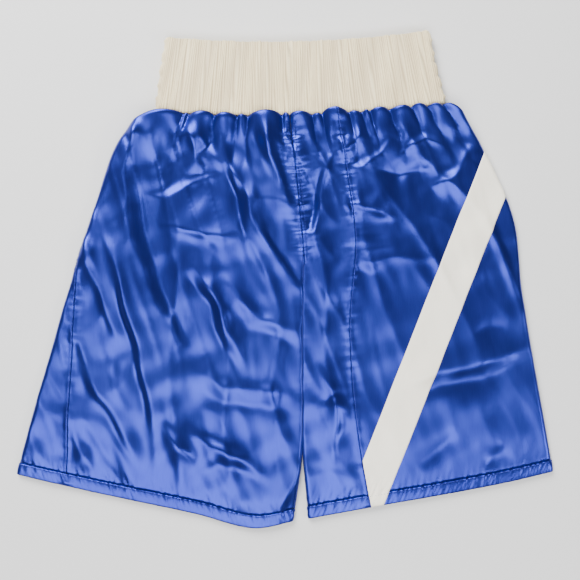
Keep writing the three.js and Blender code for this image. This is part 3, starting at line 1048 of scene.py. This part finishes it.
def gathers(share, height):
    """Relief of the casing's fine gathers, from 0 in the creases to 1 on the crests."""
    tall = height / MM
    period = 2 * math.pi * share
    slow = sum(np.sin(k * period + 1.7 * k + 0.012 * tall * (k % 3)) for k in (3, 5, 8, 13)) / 2
    quick = sum(np.sin(k * period + 0.9 * k + 0.03 * tall * (k % 4 - 1.5)) for k in (21, 34, 55)) / 1.7
    phase = 130 * period + 1.4 * slow + 1.7 * quick
    fine = np.abs(np.sin(phase)) ** 0.8
    broad = 0.5 + 0.5 * np.sin(61 * period + 2.5 * slow + 0.02 * tall)
    depth = 0.78 + 0.22 * np.sin(17 * period + 0.05 * tall + slow)
    return (0.72 * fine + 0.28 * broad) * depth


def casing():
    """The gathered strip folded over the elastic: up the outside, over the top, down inside."""
    share = np.linspace(0, 1, 1500, endpoint=False)[None, :]
    walls = 26
    rise = np.concatenate([np.linspace(0, 1, walls) ** 0.9, [1.0] * 3, np.linspace(1, 0, walls) ** 0.9])
    depth = np.concatenate([np.zeros(walls), [0.25, 0.5, 0.75], np.ones(walls)])
    over = np.concatenate([np.zeros(walls), [0.75, 1, 0.75], np.zeros(walls)])
    rise, depth, over = (a[:, None] for a in (rise, depth, over))
    height = rise * BAND_HEIGHT + over * 1.1 * MM
    ruche = gathers(share, height)
    scallop = 1.7 * MM * (gathers(share, BAND_HEIGHT + 0 * height) - 0.5)
    height = height + scallop * smooth(rise, 0.9, 1)
    outside = depth < 0.5
    swell = 0.8 * MM * np.sin(2 * math.pi * share * 9 + 3 * rise) * np.sin(math.pi * rise)
    rim = 0.9 * MM * beside(height - 1.2 * MM, 1.4 * MM)
    at_side = smooth(np.abs(band_outline(share, 0.0)[0]) / BAND_HALF_BOTTOM, 0.96, 0.99)
    tall = height / MM
    edge = 0.9 * MM * at_side * (np.sin(0.42 * tall + 9 * share) + 0.6 * np.sin(0.97 * tall))
    relief_out = swell + rim + edge - 1.9 * MM * (1 - ruche)
    inset = np.where(outside, -relief_out, depth * CASING_DEPTH + 0.3 * (relief_out - rim - edge))
    points = band_at(share, height, inset)
    run = share * BAND_AROUND
    steps = np.abs(np.diff(rise[:, 0])) * BAND_HEIGHT + 0.5 * MM
    climb = np.concatenate([[0], np.cumsum(steps)])[:, None]
    uv = np.stack(np.broadcast_arrays(run, climb + 0 * run), -1)
    obj = thicken(grid_piece("waistband_casing_cloth", points, uv, CASING, wrap=True), THIN_CLOTH)
    # The crest value is the mask for the painted shade. It is low in the creases of the outside's
    # gathers, and there is none inside the casing.
    add_attribute(obj, "crest", np.where(outside, smooth(ruche, 0.0, 0.8), 1) + 0 * share)
    stands_for(obj, "waistband_casing")
    return obj


def elastic():
    """The woven elastic inside the casing, with ribs along its length."""
    share = np.linspace(0, 1, 360, endpoint=False)[None, :]
    rows = 60
    rise = np.concatenate([np.linspace(0.01, 0.965, rows), np.linspace(0.965, 0.01, rows)])[:, None]
    inner = np.concatenate([np.zeros(rows), np.ones(rows)])[:, None]
    rib = 0.12 * MM * np.cos(rise * 2 * math.pi * 18)
    inset = ELASTIC_INSET + inner * ELASTIC_THICKNESS + np.where(inner > 0, -rib, rib)
    points = band_at(share, rise * BAND_HEIGHT, inset)
    uv = np.stack(np.broadcast_arrays(share * BAND_AROUND, rise * BAND_HEIGHT), -1)
    obj = grid_piece("waistband_elastic_web", points, uv, ELASTIC, wrap=True, close=True)
    stands_for(obj, "waistband_elastic")
    return obj


def band_stitches():
    """The stitches along the waist seam, and those of the waistband's join."""
    share = np.linspace(0, 1, 2400)
    path = band_at(share, -0.9 * MM, 1.3 * MM)
    out = band_at(share, -0.9 * MM, 0.3 * MM) - path
    out /= np.linalg.norm(out, axis=-1, keepdims=True)
    stitches("waist_seam_stitching", [(path, out)], CREAM_THREAD, "thread_cream")
    height = np.linspace(3, 72, 200) * MM
    join = (2 * BAND_REACH + BAND_BEND + (BAND_REACH + JOIN_OFFSET)) / BAND_AROUND
    path = band_at(join, height, -0.05 * MM)
    out = np.tile([0.0, 0.0, 1.0], (len(height), 1))
    thread = {"length": 1.8, "radius": 0.2}
    stitches("waistband_join_stitching", [(path, out)], CREAM_THREAD, "thread_cream", **thread)


panels()
for side in HALVES:
    hem(side)
tape()
sewing()
casing()
elastic()
band_stitches()

# ------------ floor, light and camera

VIEW_WIDTH = 609 * MM  # what the picture shows across, at the floor
VIEW_CENTRE = (5.8 * MM, -8.9 * MM)

# Area lights: name, place, sides and power.
LIGHTS = [
    ("key", (-0.5, 1.1, 1.0), (1.0, 1.0), 58),
    ("front", (-0.3, -0.95, 1.7), (1.8, 1.2), 52),
    ("side", (1.2, -0.6, 1.1), (0.5, 0.5), 12),
]


def studio():
    """The pale floor, the lights, and the camera that looks straight down as the photo does."""
    floor = square("floor", 3)
    paint = bpy.data.materials.new("floor_paint")
    paint.use_nodes = True
    shader = paint.node_tree.nodes["Principled BSDF"]
    shader.inputs["Base Color"].default_value = (0.7, 0.7, 0.7, 1)
    shader.inputs["Roughness"].default_value = 0.9
    floor.data.materials.append(paint)
    world = bpy.data.worlds.new("studio")
    world.use_nodes = True
    sky = world.node_tree.nodes["Background"]
    sky.inputs["Color"].default_value = (1, 1, 1, 1)
    sky.inputs["Strength"].default_value = 0.14
    bpy.context.scene.world = world
    for name, place, size, power in LIGHTS:
        data = bpy.data.lights.new(name, "AREA")
        data.shape = "RECTANGLE"
        data.size, data.size_y = size
        data.energy = power
        lamp = bpy.data.objects.new(name, data)
        lamp.location = place
        lamp.rotation_mode = "QUATERNION"
        lamp.rotation_quaternion = (-Vector(place)).to_track_quat("-Z", "Y")
        bpy.context.scene.collection.objects.link(lamp)
    data = bpy.data.cameras.new("camera")
    camera = bpy.data.objects.new("camera", data)
    bpy.context.scene.collection.objects.link(camera)
    data.lens = 50
    data.sensor_width = 36
    camera.location = (*VIEW_CENTRE, VIEW_WIDTH * data.lens / data.sensor_width)
    bpy.context.scene.camera = camera


studio()
